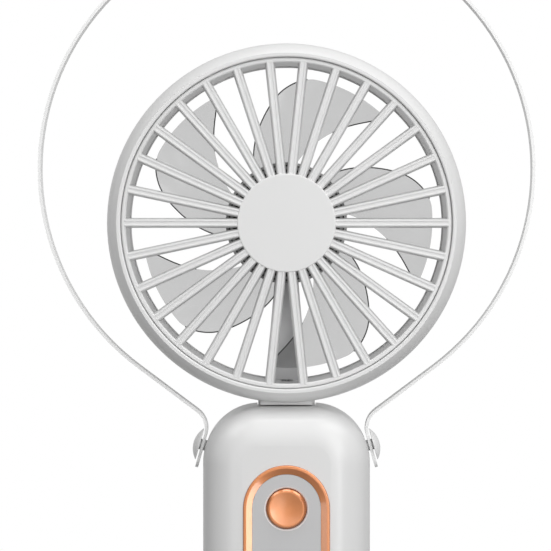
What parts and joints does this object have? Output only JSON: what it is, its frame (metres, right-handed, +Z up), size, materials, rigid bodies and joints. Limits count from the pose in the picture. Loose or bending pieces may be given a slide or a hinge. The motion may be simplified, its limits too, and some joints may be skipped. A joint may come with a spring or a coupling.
{
  "type": "handheld electric fan",
  "caption": "Handheld electric fan: round grilled head that folds back on a hinge, swept impeller, upright battery handle with a copper-trimmed button, and a stiff carry loop.",
  "frame": {"origin": "centre of the handle's flat base", "axes": "+Z up the handle to the head, -Y the way the fan blows (its front), +X right seen from the front"},
  "size_m": [0.1376, 0.0308, 0.2463],
  "materials": {
    "white_shell": "satin moulded",
    "white_grille": "satin moulded",
    "white_knuckle": "satin moulded",
    "white_band": "satin moulded",
    "white_stud": "polished moulded",
    "smoke_clear": "translucent tinted",
    "duct_grey": "fine texture",
    "copper_trim": "anodised satin",
    "panel_grey": "fine texture",
    "light_guide": "clear moulded",
    "led_chip": "moulded",
    "circuit_board": "solder mask",
    "black_plastic": "moulded",
    "cell_wrap": "heat-shrink film",
    "nickel": "bright",
    "steel": "bright",
    "magnet": "sintered",
    "lamination": "stacked sheet",
    "winding": "enamelled wire",
    "motor_base": "turned",
    "lead_cover": "smooth insulation"
  },
  "bodies": {
    "handle": {"front_shell": "white_shell", "back_shell": "white_shell", "trim_frame": "copper_trim", "face_panel": "panel_grey", "light_guides": "light_guide", "indicator_leds": "led_chip", "main_board": "circuit_board", "board_screws": "steel", "switch_body": "black_plastic", "battery_cell": "cell_wrap", "battery_tabs": "nickel", "battery_cradle": "black_plastic", "usb_socket": "steel", "charge_board": "circuit_board", "charge_lead": "lead_cover", "handle_lead": "lead_cover", "hinge_bracket": "black_plastic", "hinge_pin": "steel", "friction_washers": "steel", "bracket_screws": "steel", "shell_screws": "steel", "stud_left": "white_stud", "stud_right": "white_stud"},
    "head": {"front_housing": "white_shell", "rear_housing": "white_shell", "front_grille": "white_grille", "rear_grille": "white_grille", "rear_cap": "white_grille", "wire_duct": "duct_grey", "motor_base": "motor_base", "stator_core": "lamination", "stator_windings": "winding", "motor_board": "circuit_board", "motor_screws": "steel", "front_bearing": "steel", "rear_bearing": "steel", "ring_screws": "steel", "hinge_knuckle": "white_knuckle", "knuckle_screws": "steel", "head_lead": "lead_cover"},
    "impeller": {"impeller": "smoke_clear", "rotor_cup": "steel", "rotor_magnet": "magnet", "motor_shaft": "steel", "shaft_clip": "steel"},
    "power_button": {"power_button": "copper_trim"},
    "switch_plunger": {"switch_plunger": "black_plastic"},
    "carry_loop": {"carry_loop": "white_band"}
  },
  "joints": [
    {"name": "head_fold", "type": "hinge", "parent": "handle", "child": "head", "pos_m": [0, 0.008, 0.105], "axis": [-1, 0, 0], "range_deg": [0, 90]},
    {"name": "impeller_spin", "type": "hinge", "parent": "head", "child": "impeller", "pos_m": [0, 0, 0.1625], "axis": [0, 1, 0], "continuous": true},
    {"name": "button_press", "type": "slide", "parent": "handle", "child": "power_button", "axis": [0, 1, 0], "range_m": [0, 0.0005], "stiffness_N_per_m": 3000},
    {"name": "plunger_press", "type": "slide", "parent": "handle", "child": "switch_plunger", "axis": [0, 1, 0], "range_m": [0, 0.0005]},
    {"name": "loop_swing", "type": "hinge", "parent": "handle", "child": "carry_loop", "pos_m": [0, 0, 0.10092], "axis": [1, 0, 0], "range_deg": [-12, 12]}
  ],
  "couplings": [
    {"joint": "plunger_press", "follows": "button_press", "ratio": 1}
  ]
}
